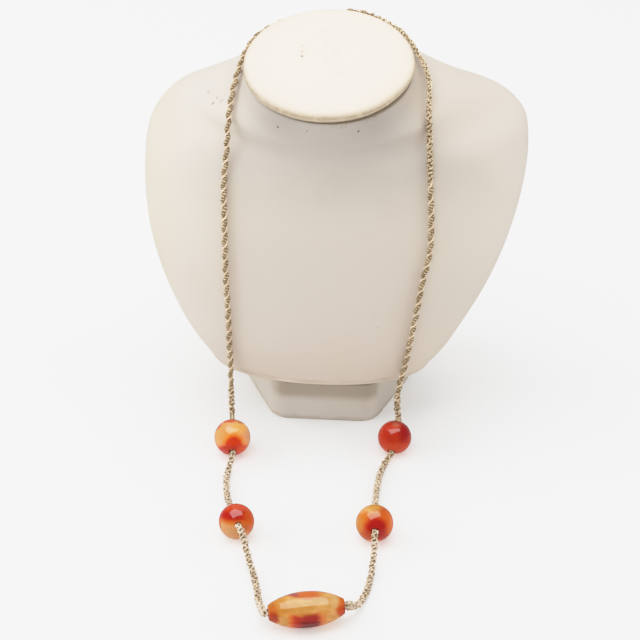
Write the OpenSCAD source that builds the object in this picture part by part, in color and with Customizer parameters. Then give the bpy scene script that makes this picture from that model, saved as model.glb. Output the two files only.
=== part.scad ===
// Agate necklace on a small leatherette neck bust.
// Millimetres. +Z is up, the bust faces -Y, and +X is on the right as it is looked at.
// The origin is on the table, under the middle of the neck.

/* [Bust] */
// Height of the foot, from the table to the chest's lower edge
foot_h = 31.7; // [28:0.1:31.7]
// Half of the foot's width at its front edge
foot_front_half = 27; // [20:0.5:30]
// Half of the foot's width at its back
foot_back_half = 46; // [40:0.5:54]
// Place of the foot's middle, to the right of the neck's
foot_mid_x = 3; // [0:0.5:4]
// Depth of the foot, front to back
foot_depth = 86; // [80:0.5:88]
// Forward slant of the neck's top, in degrees
neck_pitch = 14; // [8:0.5:16]
// Sideways slant of the neck's top, in degrees, right side up
neck_lean = 2; // [0:0.5:3]

/* [Neck pad] */
// Half of the pad's width
pad_half_w = 43.8; // [42:0.1:45]
// Half of the pad's depth, measured along its slant
pad_half_d = 38.4; // [37:0.1:41]
// Height of the pad's rolled rim
pad_rim_h = 6; // [4:0.1:8]
// Rise of the pad's crown above its rim
pad_crown_h = 1.6; // [0.5:0.1:3]

/* [Beads] */
// Diameter of the left upper bead
bead_upper_left_d = 19.4; // [17:0.1:19.4]
// Diameter of the right upper bead
bead_upper_right_d = 18; // [17:0.1:18]
// Diameter of the left lower bead
bead_lower_left_d = 18.4; // [17:0.1:18.4]
// Diameter of the right lower bead
bead_lower_right_d = 19.4; // [17:0.1:19.4]
// Diameter of the drilled hole in every bead
bore_d = 3; // [2.8:0.1:3.4]
// Diameter of each hole's bevelled mouth
bore_mouth_d = 4.2; // [3.6:0.1:5]
// Length of the barrel bead
barrel_l = 38; // [36:0.5:38]
// Diameter of the barrel bead across its facet edges
barrel_d = 18.4; // [16:0.1:18.4]
// Number of long facets round the barrel bead
barrel_facets = 12; // [8:2:16]
// Turn of the barrel bead about its hole, away from lying on a facet, in degrees
barrel_roll = 9; // [0:1:12]

/* [Cord] */
// Diameter of the knotted cord
cord_d = 3.8; // [3:0.1:3.8]
// Diameter of the core threads, which pass through the beads
core_d = 2.2; // [1.6:0.1:2.4]

/* [Hidden] */

cream = [0.88, 0.85, 0.80];
cream_pad = [0.94, 0.92, 0.89];
cord_tan = [0.78, 0.70, 0.54];
agate_honey = [0.86, 0.60, 0.33];
agate_red = [0.72, 0.16, 0.08];

// Clearance between pieces that are seated on each other
seat_gap = 0.3;

// Sections of the bust from the chest's lower edge to the neck's top.
// Columns: height, half width, middle in x, front y, y of the widest point, back y,
// roundness of the front outline, roundness of the back outline (2 is an ellipse).
Z = 0; HALF_W = 1; MID_X = 2; FRONT_Y = 3; SIDE_Y = 4; BACK_Y = 5; FRONT_P = 6; BACK_P = 7;
SECTIONS = [
    [32, 58, 0, -51, -24, 36, 2.2, 3],
    [45, 67.5, 0.25, -54, -22, 38, 2.2, 3],
    [60, 76.5, 0, -56, -18, 40, 2.2, 3],
    [80, 86.5, 0.75, -55, -12, 42, 2.2, 3],
    [100, 94, 1.75, -52, -5, 43, 2.2, 3],
    [120, 98.5, 3, -48, 2, 44, 2.2, 3],
    [138, 100.5, 4.25, -43, 9, 45, 2.1, 3],
    [152, 100, 5, -39, 14, 45, 1.9, 3],
    [162, 96, 6, -37, 19, 46, 1.7, 2.6],
    [169, 86, 5, -36, 25, 46, 1.6, 2.4],
    [175, 74, 2.75, -35, 19, 46, 1.7, 2.2],
    [181, 62, 2.5, -35, 12, 46.5, 1.9, 2.1],
    [188, 49.5, 1.5, -35, 5, 45.5, 2, 2.2],
    [197, 41.5, 0, -33.2, 2, 39.5, 2, 2.2]
];
neck_top_z = SECTIONS[len(SECTIONS) - 1][Z];
pitch_from_z = 150;
lean_from_z = 80;
section_sides = 48;
section_steps = 2;

// The pad's rings from its underside up.
// Columns: share of the rim's height, share of the rim's half width.
PAD_RIM = [[0, 0.95], [0.2, 0.985], [0.5, 1], [0.8, 0.985], [1, 0.95]];
// The same for the crown. Columns: share of the crown's rise, share of the half width.
PAD_CROWN = [[0.5, 0.86], [0.85, 0.6], [1, 0.28]];
pad_y = 2;
pad_sides = 40;

// Corner radii of the foot's plan
foot_front_r = 12;
foot_side_r = 14;
foot_back_r = 8;
// Splay of the foot's sides, from the depth axis, in degrees
foot_splay = 26;

// Profile of the barrel bead. Columns: share of its half length, share of its radius.
BARREL = [[-1, 0.42], [-0.8, 0.65], [-0.55, 0.845], [-0.27, 0.965], [0, 1],
          [0.27, 0.965], [0.55, 0.845], [0.8, 0.65], [1, 0.42]];

// Where each bead lies. Columns: middle in x, middle in y, heading, nose down.
// The heading is the angle of its hole's front end from -Y towards +X, and both angles
// are in degrees. A negative nose down lifts the front end.
PLACE_UL = [-44.9, -71.1, 5, 13];
PLACE_UR = [42, -64.5, -10, 24];
PLACE_LL = [-37.8, -134.8, 12, -29];
PLACE_LR = [33.2, -132.1, 2, -16];
PLACE_BARREL = [1.3, -194.5, -79.4, 0];

// The cord's route, as hand-placed points of its centre line between the beads.
cord_r = cord_d / 2;
core_r = core_d / 2;
// From the left upper bead up the chest, round the neck and down to the right upper bead
ROUTE_NECK = [
    [-46.7, -53.2, 20], [-47.2, -50, 29.5], [-47.4, -49.2, 42], [-47.7, -51.9, 60],
    [-48.1, -51.9, 78.5], [-49.2, -49.4, 97], [-49.9, -45.4, 115.5], [-50.5, -40, 132.5],
    [-51.2, -32.4, 149], [-50.4, -24.2, 163], [-50, -18.7, 174.6], [-49.2, -9.5, 183.8],
    [-47.4, 0.2, 190.6], [-45.5, 8.5, 194.8], [-43, 17, 198], [-38.5, 27.5, 200],
    [-29.5, 36, 202.1], [-15.5, 41.4, 204.7], [-1.5, 43, 206], [12.5, 42.5, 208],
    [24.7, 38, 206.7], [33, 33.8, 204.3], [40.8, 25.5, 202.6], [46, 16.2, 199.6],
    [49.7, 8.8, 196.6], [51.6, 2.1, 193.5], [52.2, -8.2, 189.2], [52.1, -16.5, 183],
    [52.6, -20.1, 174.8], [53.4, -26.9, 165.7], [54.3, -34.5, 152], [55.6, -40.7, 134.5],
    [55.5, -44.9, 119], [52.7, -48.6, 103.5], [50.4, -51.3, 86.5], [48.1, -52.7, 69],
    [46.1, -51, 51], [43.9, -49.5, 37], [42.5, -51.6, 24]
];
// On the table, from the right upper bead to the right lower one
ROUTE_RIGHT = [[37.4, -78, 2.3], [34.9, -86.5, 2], [33.6, -97, 2], [33.1, -107, 2], [32.8, -115.3, 3.2]];
// From the right lower bead to the barrel bead
ROUTE_RIGHT_END = [[33.6, -148, 9.4], [33.1, -156, 4.2], [32, -165.5, 2], [29.8, -176, 2.1],
                   [26.3, -185.3, 4.3]];
// From the barrel bead to the left lower bead
ROUTE_LEFT_END = [[-21, -191, 4.5], [-22.8, -184.5, 2.2], [-24.5, -175.5, 2], [-27.3, -164.5, 2.8],
                  [-30.5, -156, 6.3], [-33.2, -148.7, 11.2]];
// On the table, from the left lower bead to the left upper one
ROUTE_LEFT = [[-40.9, -119.8, 2.1], [-44, -112, 2], [-45.7, -102.5, 2], [-46.2, -93, 2],
              [-45.2, -86.4, 3.7]];
// Bare core left between the knots and each bead's hole
bare_core = 0.8;
// The same behind the left upper bead, where the knots stop short
bare_core_upper = 3.5;
// A point inside the loop, which sets the turn of every ring of the cord
LOOP_HEART = [0, -60, 70];
cord_sides = 8;

function unit(v) = v / norm(v);

// A point of the smooth curve through b and c
function spline(a, b, c, d, t) =
    0.5 * (2 * b + (c - a) * t + (2 * a - 5 * b + 4 * c - d) * t * t
           + (3 * b - a - 3 * c + d) * t * t * t);

// The section at a share of the way up the table of sections
function section_at(i, t, last = len(SECTIONS) - 1) =
    spline(SECTIONS[max(i - 1, 0)], SECTIONS[i], SECTIONS[min(i + 1, last)],
           SECTIONS[min(i + 2, last)], t);

// Slant of a level, which grows from nothing to its full value at the neck's top
function slant(z, from_z, full) = full * max(0, min(1, (z - from_z) / (neck_top_z - from_z)));

// Height of a point of a slanted level
function level_z(z, x, y) =
    z + y * tan(slant(z, pitch_from_z, neck_pitch)) + x * tan(slant(z, lean_from_z, neck_lean));

// Cosine or sine drawn out to a rounder or squarer outline
function shaped(c, roundness) = sign(c) * pow(abs(c), 2 / roundness);

// The outline of one section of the bust
function section_ring(s) = [
    for (k = [0 : section_sides - 1])
        let (a = 360 * k / section_sides,
             front = sin(a) < 0,
             p = front ? s[FRONT_P] : s[BACK_P],
             reach = front ? s[SIDE_Y] - s[FRONT_Y] : s[BACK_Y] - s[SIDE_Y],
             x = s[HALF_W] * shaped(cos(a), p),
             y = s[SIDE_Y] + reach * shaped(sin(a), p))
        [x + s[MID_X], y, level_z(s[Z], x, y)]
];

// A solid through rings of equal length, closed flat at both ends
module loft(rings) {
    n = len(rings[0]);
    last = len(rings) - 1;
    sides = [
        for (i = [0 : last - 1], k = [0 : n - 1])
            let (a = i * n + k, b = i * n + (k + 1) % n, c = b + n, d = a + n)
            each [[a, c, b], [a, d, c]]
    ];
    bottom = [for (k = [0 : n - 1]) k];
    top = [for (k = [n - 1 : -1 : 0]) last * n + k];
    polyhedron(points = [for (r = rings) each r], faces = concat([bottom, top], sides));
}

// A tube that runs on from its last ring into its first
module closed_tube(rings) {
    n = len(rings[0]);
    count = len(rings);
    sides = [
        for (i = [0 : count - 1], k = [0 : n - 1])
            let (j = (i + 1) % count,
                 a = i * n + k, b = i * n + (k + 1) % n,
                 c = j * n + (k + 1) % n, d = j * n + k)
            each [[a, c, b], [a, d, c]]
    ];
    polyhedron(points = [for (r = rings) each r], faces = sides);
}

// The arc that rounds corner p of a plan, between its neighbours before and after it
function corner_arc(before, p, after, r, steps = 6) =
    let (u = unit(before - p),
         v = unit(after - p),
         half = acos(u * v) / 2,
         middle = p + unit(u + v) * r / sin(half),
         start = p + u * r / tan(half) - middle,
         a0 = atan2(start.y, start.x),
         turn = (180 - 2 * half) * sign(v.x * u.y - v.y * u.x))
    [for (k = [0 : steps]) middle + r * [cos(a0 + turn * k / steps), sin(a0 + turn * k / steps)]];

// A closed plan with each corner rounded to its own radius
function rounded_plan(corners, radii) = [
    for (i = [0 : len(corners) - 1])
        let (n = len(corners))
        each corner_arc(corners[(i + n - 1) % n], corners[i], corners[(i + 1) % n], radii[i])
];

// Direction of a bead's hole, towards its front end
function hole_axis(place) =
    [sin(place[2]) * cos(place[3]), -cos(place[2]) * cos(place[3]), -sin(place[3])];

// Middle of a round bead, which touches the table
function bead_middle(place, d) = [place[0], place[1], d / 2];

// Middle of the barrel bead, whose lowest facet edge touches the table
barrel_height = barrel_d / 2 * cos(180 / barrel_facets - barrel_roll);
BARREL_MIDDLE = [PLACE_BARREL[0], PLACE_BARREL[1], barrel_height];

// Half of a round bead's length along its drilled hole
function round_half(d) = sqrt(d * d - bore_d * bore_d) / 2;

// The cord's rings through one bead, front end first or last.
// Columns: point, radius. The cord thins to its core in the hole.
function through(middle, axis, half, bare_back) =
    let (front = half + bare_core, back = half + bare_back)
    [[middle - axis * (back + 0.8), cord_r], [middle - axis * back, core_r],
     [middle + axis * front, core_r], [middle + axis * (front + 0.8), cord_r]];

function through_round(place, d, bare_back = bare_core) =
    through(bead_middle(place, d), hole_axis(place), round_half(d), bare_back);

function thick(points) = [for (p = points) [p, cord_r]];

function reversed(list) = [for (i = [len(list) - 1 : -1 : 0]) list[i]];

// The whole loop, from the back of the left upper bead over the neck and round
LOOP = concat(
    thick(ROUTE_NECK),
    through_round(PLACE_UR, bead_upper_right_d),
    thick(ROUTE_RIGHT),
    through_round(PLACE_LR, bead_lower_right_d),
    thick(ROUTE_RIGHT_END),
    through(BARREL_MIDDLE, hole_axis(PLACE_BARREL), barrel_l / 2, bare_core),
    thick(ROUTE_LEFT_END),
    reversed(through_round(PLACE_LL, bead_lower_left_d)),
    thick(ROUTE_LEFT),
    reversed(through_round(PLACE_UL, bead_upper_left_d, bare_core_upper))
);

// One ring of the cord, square to its run
function cord_ring(i) =
    let (n = len(LOOP),
         here = LOOP[i][0],
         run = unit(unit(LOOP[(i + 1) % n][0] - here) + unit(here - LOOP[(i + n - 1) % n][0])),
         side = unit(cross(run, here - LOOP_HEART)),
         out = cross(run, side),
         r = LOOP[i][1])
    [for (k = [0 : cord_sides - 1])
        let (a = 360 * k / cord_sides)
        here + r * (side * cos(a) + out * sin(a))];

// Chest, shoulders and neck of the stand
module bust_body() {
    color(cream)
        loft([
            for (i = [0 : len(SECTIONS) - 2], k = [0 : section_steps - 1])
                section_ring(section_at(i, k / section_steps)),
            section_ring(SECTIONS[len(SECTIONS) - 1])
        ]);
}

// One ring of the pad, at a height above its underside
function pad_ring(height, share) = [
    for (k = [0 : pad_sides - 1])
        let (a = 360 * k / pad_sides,
             x = pad_half_w * share * cos(a),
             y = pad_y + pad_half_d * cos(neck_pitch) * share * sin(a))
        [x, y, level_z(neck_top_z, x, y) + height]
];

// Padded oval that closes the neck
module neck_pad() {
    color(cream_pad)
        loft([
            for (row = PAD_RIM) pad_ring(seat_gap + pad_rim_h * row[0], row[1]),
            for (row = PAD_CROWN) pad_ring(seat_gap + pad_rim_h + pad_crown_h * row[0], row[1])
        ]);
}

// Block that the bust stands on, narrower at the front and set back under the chest
module foot() {
    y0 = -foot_depth / 2;
    splay_y = y0 + (foot_back_half - foot_front_half) / tan(foot_splay);
    plan = [[foot_front_half, y0], [foot_back_half, splay_y], [foot_back_half, -y0],
            [-foot_back_half, -y0], [-foot_back_half, splay_y], [-foot_front_half, y0]];
    radii = [foot_front_r, foot_side_r, foot_back_r, foot_back_r, foot_side_r, foot_front_r];
    color(cream)
        translate([foot_mid_x, 0, 0])
            linear_extrude(height = foot_h)
                polygon(rounded_plan(plan, radii));
}

// The knotted cord, with its core running on through every bead
module cord() {
    color(cord_tan)
        closed_tube([for (i = [0 : len(LOOP) - 1]) cord_ring(i)]);
}

// The drilled hole along Z, with a bevelled mouth at each end of its length
module drilling(half) {
    bevel = (bore_mouth_d - bore_d) / 2;
    cylinder(h = 2 * half + 10, d = bore_d, center = true, $fn = 32);
    for (end = [0, 1])
        mirror([0, 0, end])
            translate([0, 0, half - bevel])
                cylinder(h = 2 * bevel, d1 = bore_d, d2 = bore_d + 4 * bevel, $fn = 32);
}

// Turns a bead, made with its hole along Z, and puts its middle where it lies
module lay(place, middle) {
    translate(middle)
        rotate([90 + place[3], 0, place[2]])
            children();
}

module round_bead(d, tint) {
    color(tint)
        difference() {
            sphere(d = d, $fn = 64);
            drilling(round_half(d));
        }
}

module bead_upper_left() {
    lay(PLACE_UL, bead_middle(PLACE_UL, bead_upper_left_d))
        round_bead(bead_upper_left_d, agate_honey);
}

module bead_upper_right() {
    lay(PLACE_UR, bead_middle(PLACE_UR, bead_upper_right_d))
        round_bead(bead_upper_right_d, agate_red);
}

module bead_lower_left() {
    lay(PLACE_LL, bead_middle(PLACE_LL, bead_lower_left_d))
        round_bead(bead_lower_left_d, agate_red);
}

module bead_lower_right() {
    lay(PLACE_LR, bead_middle(PLACE_LR, bead_lower_right_d))
        round_bead(bead_lower_right_d, agate_honey);
}

// Long bead with flat facets from end to end
module bead_barrel() {
    rings = [
        for (row = BARREL)
            [for (k = [0 : barrel_facets - 1])
                let (a = 270 + 360 * (k + 0.5) / barrel_facets + barrel_roll,
                     r = row[1] * barrel_d / 2)
                [r * cos(a), r * sin(a), row[0] * barrel_l / 2]]
    ];
    lay(PLACE_BARREL, BARREL_MIDDLE)
        color(agate_honey)
            difference() {
                loft(rings);
                drilling(barrel_l / 2);
            }
}

bust_body();
neck_pad();
foot();
cord();
bead_upper_left();
bead_upper_right();
bead_lower_left();
bead_lower_right();
bead_barrel();
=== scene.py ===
"""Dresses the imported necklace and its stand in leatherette, agate and knotted cord."""
import math
from collections import namedtuple

import bpy
import numpy as np
from mathutils import Matrix, Vector


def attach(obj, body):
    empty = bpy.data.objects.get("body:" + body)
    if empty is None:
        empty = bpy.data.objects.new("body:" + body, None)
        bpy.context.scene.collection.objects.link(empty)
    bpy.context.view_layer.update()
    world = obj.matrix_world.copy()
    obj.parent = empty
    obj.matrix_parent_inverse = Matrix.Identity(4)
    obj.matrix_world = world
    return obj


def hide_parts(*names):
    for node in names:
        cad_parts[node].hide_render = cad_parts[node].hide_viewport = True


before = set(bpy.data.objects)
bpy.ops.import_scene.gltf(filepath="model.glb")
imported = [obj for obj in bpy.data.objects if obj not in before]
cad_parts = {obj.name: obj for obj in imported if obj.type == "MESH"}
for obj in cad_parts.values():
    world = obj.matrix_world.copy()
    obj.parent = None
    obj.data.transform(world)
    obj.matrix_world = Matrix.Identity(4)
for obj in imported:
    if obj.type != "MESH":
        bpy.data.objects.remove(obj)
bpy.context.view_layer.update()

# Lengths in the tables are in millimetres
MM = 0.001

# The photographed view: camera height angle, turn, roll, distance, aim and focal length
VIEW_ELEVATION = 39.0
VIEW_AZIMUTH = 2.0
VIEW_ROLL = 1.2
VIEW_DISTANCE = 1250.0
VIEW_AIM = (-1.7, 0.0, 35.5)
VIEW_LENS = 127.15

# Driving sizes, as in the part's source
FOOT_H = 31.7
FOOT_FRONT_HALF = 27.0
FOOT_MID_X = 3.0
FOOT_BACK_HALF = 46.0
FOOT_DEPTH = 86.0
FOOT_SPLAY = 26.0
FOOT_ROUNDING = (12, 14, 8, 8, 14, 12)
PAD_HALF_W = 43.8
PAD_HALF_D = 38.4
PAD_Y = 2.0
SEAT_GAP = 0.3
HEM_Z = 32.0
NECK_TOP_Z = 197.0
NECK_PITCH = 14.0
NECK_LEAN = 2.0
PITCH_FROM_Z = 150.0
LEAN_FROM_Z = 80.0
BORE_R = 1.5
MOUTH_R = 2.1
BARREL_L = 38.0
BARREL_R = 9.2
BARREL_FACETS = 12
BARREL_ROLL = 9.0

# Points round the bust and each round bead, and steps round a corner of the foot
BUST_SIDES = 256
BEAD_SIDES = 112
CORNER_STEPS = 12

# The pad's cushion: points round it, height of its edge, rise of its crown, its front's share of the
# solid's depth, and the share that it draws in at its front right, round an angle and over a width
CUSHION_SIDES = 120
CUSHION_H = 6.1
CUSHION_RISE = 1.5
CUSHION_FRONT = 0.977
CUSHION_DRAWN = 0.02
CUSHION_DRAWN_AT = 322
CUSHION_DRAWN_OVER = 20

# The cloth trial that swells the pad: its enlargement, its last frame and the furthest move kept
TRIAL_SCALE = 5.0
TRIAL_FRAMES = 15
SWELL_LIMIT = 0.9

# Sections of the bust: height, half width, middle in x, front y, y of the widest point,
# back y, roundness of the front outline, roundness of the back outline
Section = namedtuple("Section", "z half_w mid_x front_y side_y back_y front_p back_p")
SECTIONS = np.array([
    [32, 58, 0, -51, -24, 36, 2.2, 3],
    [45, 67.5, 0.25, -54, -22, 38, 2.2, 3],
    [60, 76.5, 0, -56, -18, 40, 2.2, 3],
    [80, 86.5, 0.75, -55, -12, 42, 2.2, 3],
    [100, 94, 1.75, -52, -5, 43, 2.2, 3],
    [120, 98.5, 3, -48, 2, 44, 2.2, 3],
    [138, 100.5, 4.25, -43, 9, 45, 2.1, 3],
    [152, 100, 5, -39, 14, 45, 1.9, 3],
    [162, 96, 6, -37, 19, 46, 1.7, 2.6],
    [169, 86, 5, -36, 25, 46, 1.6, 2.4],
    [175, 74, 2.75, -35, 19, 46, 1.7, 2.2],
    [181, 62, 2.5, -35, 12, 46.5, 1.9, 2.1],
    [188, 49.5, 1.5, -35, 5, 45.5, 2, 2.2],
    [197, 41.5, 0, -33.2, 2, 39.5, 2, 2.2],
])

# Profile of the barrel bead: share of its half length, share of its radius
BARREL = np.array([[-1, 0.42], [-0.8, 0.65], [-0.55, 0.845], [-0.27, 0.965], [0, 1],
                   [0.27, 0.965], [0.55, 0.845], [0.8, 0.65], [1, 0.42]])

# Each bead: middle in x, middle in y, heading of its hole, how far its nose points down, diameter
Bead = namedtuple("Bead", "x y heading nose wide")
PLACE_UL = Bead(-44.9, -71.1, 5, 13, 19.4)
PLACE_UR = Bead(42, -64.5, -10, 24, 18)
PLACE_LL = Bead(-37.8, -134.8, 12, -29, 18.4)
PLACE_LR = Bead(33.2, -132.1, 2, -16, 19.4)
PLACE_BARREL = Bead(1.3, -194.5, -79.4, 0, 18.4)

# The cord's route between the beads, as in the part's source
ROUTE_NECK = [
    [-46.7, -53.2, 20], [-47.2, -50, 29.5], [-47.4, -49.2, 42], [-47.7, -51.9, 60],
    [-48.1, -51.9, 78.5], [-49.2, -49.4, 97], [-49.9, -45.4, 115.5], [-50.5, -40, 132.5],
    [-51.2, -32.4, 149], [-50.4, -24.2, 163], [-50, -18.7, 174.6], [-49.2, -9.5, 183.8],
    [-47.4, 0.2, 190.6], [-45.5, 8.5, 194.8], [-43, 17, 198], [-38.5, 27.5, 200],
    [-29.5, 36, 202.1], [-15.5, 41.4, 204.7], [-1.5, 43, 206], [12.5, 42.5, 208],
    [24.7, 38, 206.7], [33, 33.8, 204.3], [40.8, 25.5, 202.6], [46, 16.2, 199.6],
    [49.7, 8.8, 196.6], [51.6, 2.1, 193.5], [52.2, -8.2, 189.2], [52.1, -16.5, 183],
    [52.6, -20.1, 174.8], [53.4, -26.9, 165.7], [54.3, -34.5, 152], [55.6, -40.7, 134.5],
    [55.5, -44.9, 119], [52.7, -48.6, 103.5], [50.4, -51.3, 86.5], [48.1, -52.7, 69],
    [46.1, -51, 51], [43.9, -49.5, 37], [42.5, -51.6, 24],
]
ROUTE_RIGHT = [[37.4, -78, 2.3], [34.9, -86.5, 2], [33.6, -97, 2], [33.1, -107, 2], [32.8, -115.3, 3.2]]
ROUTE_RIGHT_END = [[33.6, -148, 9.4], [33.1, -156, 4.2], [32, -165.5, 2], [29.8, -176, 2.1],
                   [26.3, -185.3, 4.3]]
ROUTE_LEFT_END = [[-21, -191, 4.5], [-22.8, -184.5, 2.2], [-24.5, -175.5, 2], [-27.3, -164.5, 2.8],
                  [-30.5, -156, 6.3], [-33.2, -148.7, 11.2]]
ROUTE_LEFT = [[-40.9, -119.8, 2.1], [-44, -112, 2], [-45.7, -102.5, 2], [-46.2, -93, 2],
              [-45.2, -86.4, 3.7]]
BARE_CORE = 0.8
BARE_CORE_UPPER = 3.5

# The cord: spacing of its points, and the pitch of its spiral, its hitches and its braid
CORD_SPACING = 0.1
CORD_PITCH = 7.3
HITCH_PITCH = 1.35
BRAID_PITCH = 5.3
# How much thinner and how far inwards it is where it is pressed along the pad
PRESSED_THINNER = 0.18
PRESSED_INWARD = 0.4
# Share of its thickness that it keeps in a bead's hole, and beside the upper left bead
THIN_IN_HOLE = 0.62
THIN_BARE = 0.6
# Radii of its hitches, bright strand, braided strands and bare threads
HITCH_R = 0.38
BRIGHT_R = 0.36
BRAIDED_R = 0.44
THREAD_R = 0.6
# Height at which a strand that lies on the table is cut off flat
TABLE_GAP = 0.03

# Marks on the coverings: middle, half size, strength and colour
BUST_MARKS = [
    ((-57.5, 0.5, 179), (7, 8, 6), 0.25, (150, 146, 130)),
    ((-61.9, 6.5, 178.2), (0.9, 1.2, 1.5), 0.5, (120, 116, 104)),
    ((-56.9, 0, 179.3), (0.5, 0.8, 1.5), 0.6, (120, 116, 104)),
    ((-59, -1.4, 176.8), (0.9, 0.7, 1.5), 0.75, (112, 108, 94)),
    ((-54.5, -3, 179.7), (1.8, 0.6, 1.5), 0.5, (120, 116, 104)),
    ((-23.9, -29, 182.5), (0.5, 0.7, 0.6), 0.9, (84, 70, 56)),
    ((-9, -33.5, 183.9), (0.4, 1, 0.4), 0.7, (110, 95, 80)),
    ((16.7, -32.4, 184.2), (0.5, 1.2, 0.5), 0.9, (84, 70, 56)),
    ((7.9, -33, 187.7), (5, 3, 1.6), 0.5, (128, 108, 84)),
    ((22.7, -28.1, 189.6), (4, 3, 1.6), 0.5, (128, 108, 84)),
]
PAD_MARKS = [
    ((-13.4, 7.6, 206.2), (2.6, 5.4, 5), 0.5, (214, 160, 112)),
    ((-13.8, 3.4, 205.1), (0.8, 0.9, 3), 0.9, (120, 110, 92)),
    ((-14, 10.6, 206.8), (0.5, 0.7, 3), 0.6, (150, 130, 100)),
    ((-13.4, 6.5, 205.9), (1, 0.4, 3), 0.5, (160, 140, 100)),
    ((-3.5, 21.9, 209.8), (1.1, 1.1, 3), 0.35, (170, 168, 160)),
    ((-1.6, 15.1, 208.4), (1.2, 1.2, 3), 0.25, (170, 168, 160)),
]

# The shoulder of the film-like tone curve, and the light that falls on the beads and the cord
SHOULDER_FROM = 0.5
SHOULDER_REACH = 0.45
SHOULDER_WHITE = 3.0
BEAD_LIGHT = 1.38
CORD_LIGHT = 1.15
# What the polish adds to a bead's colour by reflecting the table
GLOSS_SHARE = 0.02
# Depth of the leatherette's grain and the cord's fibres
RELIEF = 0.12


def unit(v):
    """A direction of length one, or rows of them."""
    v = np.asarray(v, float)
    return v / np.linalg.norm(v, axis=-1, keepdims=True)


def degrees_round(sides):
    return np.arange(sides) * 360.0 / sides


def outwards(plan):
    """Directions square to a closed outline that runs anticlockwise, at each of its points."""
    run = unit(np.roll(plan, -1, 0) - np.roll(plan, 1, 0))
    return np.stack([run[:, 1], -run[:, 0]], 1)


def placed(name, data):
    """An object with the data, in the scene."""
    thing = bpy.data.objects.new(name, data)
    bpy.context.scene.collection.objects.link(thing)
    return thing


def view_axes():
    """Right, up and back of the photographed view, in the object's frame."""
    e = math.radians(VIEW_ELEVATION)
    a = math.radians(VIEW_AZIMUTH)
    r = math.radians(VIEW_ROLL)
    ahead = np.array([-math.sin(a) * math.cos(e), math.cos(a) * math.cos(e), -math.sin(e)])
    right = np.array([math.cos(a), math.sin(a), 0.0])
    up = np.cross(right, ahead)
    turned_right = math.cos(r) * right + math.sin(r) * up
    turned_up = -math.sin(r) * right + math.cos(r) * up
    return turned_right, turned_up, -ahead


RIGHT, UP, BACK = view_axes()


def make_camera():
    data = bpy.data.cameras.new("camera")
    data.sensor_width = 36.0
    data.lens = VIEW_LENS
    data.clip_start = 0.05
    data.clip_end = 20.0
    camera = placed("camera", data)
    turn = Matrix([list(row) for row in np.stack([RIGHT, UP, BACK], 1)])
    place = (np.array(VIEW_AIM) + BACK * VIEW_DISTANCE) * MM
    camera.matrix_world = Matrix.Translation(Vector(place)) @ turn.to_4x4()
    bpy.context.scene.camera = camera


def srgb(red, green, blue):
    """Linear colour of an everyday 0 to 255 one."""
    return tuple(((c / 255 + 0.055) / 1.055) ** 2.4 if c > 10 else c / 255 / 12.92
                 for c in (red, green, blue)) + (1.0,)


def lit(red, green, blue, light=BEAD_LIGHT):
    """Surface colour that the stage lights show as an everyday 0 to 255 one."""
    levels = []
    for c in srgb(red, green, blue)[:3]:
        if c > SHOULDER_FROM:
            c = SHOULDER_FROM - SHOULDER_REACH * math.log(1 - (c - SHOULDER_FROM) / SHOULDER_REACH)
        levels.append(min(max(c - GLOSS_SHARE, 0.25 * c) / light, 0.93))
    return tuple(levels) + (1.0,)


def add(kind, inputs, **settings):
    """A node with its inputs and settings, in the tree of the sockets that are linked to it."""
    tree = next(value.id_data for value in inputs.values() if isinstance(value, bpy.types.NodeSocket))
    node = tree.nodes.new(kind)
    for key, value in settings.items():
        setattr(node, key, value)
    fill(node, inputs)
    return node


def fill(node, inputs):
    """Links the inputs that come from other nodes, and sets the rest."""
    for key, value in inputs.items():
        if isinstance(value, bpy.types.NodeSocket):
            node.id_data.links.new(value, node.inputs[key])
        else:
            node.inputs[key].default_value = value


def mixed(factor, a, b):
    """Colour a turning to b with the factor."""
    return add("ShaderNodeMix", {0: factor, 6: a, 7: b}, data_type="RGBA").outputs[2]


def ramped(value, low, high, to_low=0.0, to_high=1.0):
    """Value mapped smoothly from one range to another."""
    inputs = {"Value": value, "From Min": low, "From Max": high, "To Min": to_low, "To Max": to_high}
    return add("ShaderNodeMapRange", inputs, interpolation_type="SMOOTHSTEP").outputs["Result"]


def noise(vector, scale, detail, roughness=0.5):
    """Soft random grain, as a number from nought to one."""
    inputs = {"Vector": vector, "Scale": scale, "Detail": detail, "Roughness": roughness}
    return add("ShaderNodeTexNoise", inputs).outputs["Fac"]


def arithmetic(kind, a, b, c=0.0):
    """Arithmetic on two or three numbers, each set or linked."""
    return add("ShaderNodeMath", {0: a, 1: b, 2: c}, operation=kind).outputs[0]


def product(a, b):
    return arithmetic("MULTIPLY", a, b)


def vector_math(kind, a, b=(0, 0, 0)):
    return add("ShaderNodeVectorMath", {0: a, 1: b}, operation=kind).outputs


def split(vector):
    """The three numbers of a vector."""
    return add("ShaderNodeSeparateXYZ", {0: vector}).outputs


def start_material(name):
    material = bpy.data.materials.new(name)
    material.use_nodes = True
    nodes = material.node_tree.nodes
    return material, nodes["Principled BSDF"], nodes.new("ShaderNodeTexCoord").outputs["Object"]


def zone_mask(vector, middle, size, soft, turn=0.0, square=False):
    """One inside an ellipsoid or box, nought outside it, with a soft edge."""
    inputs = {"Vector": vector, "Location": middle, "Rotation": (0, 0, math.radians(turn)), "Scale": size}
    local = add("ShaderNodeMapping", inputs, vector_type="TEXTURE").outputs["Vector"]
    if square:
        across, along, up = split(vector_math("ABSOLUTE", local)[0])
        reach = arithmetic("MAXIMUM", arithmetic("MAXIMUM", across, along), up)
    else:
        reach = vector_math("LENGTH", local)["Value"]
    return ramped(reach, 1 + soft, 1 - soft)


def scaled(colour, factors):
    return tuple(c * k for c, k in zip(colour[:3], factors)) + (1.0,)


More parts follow.
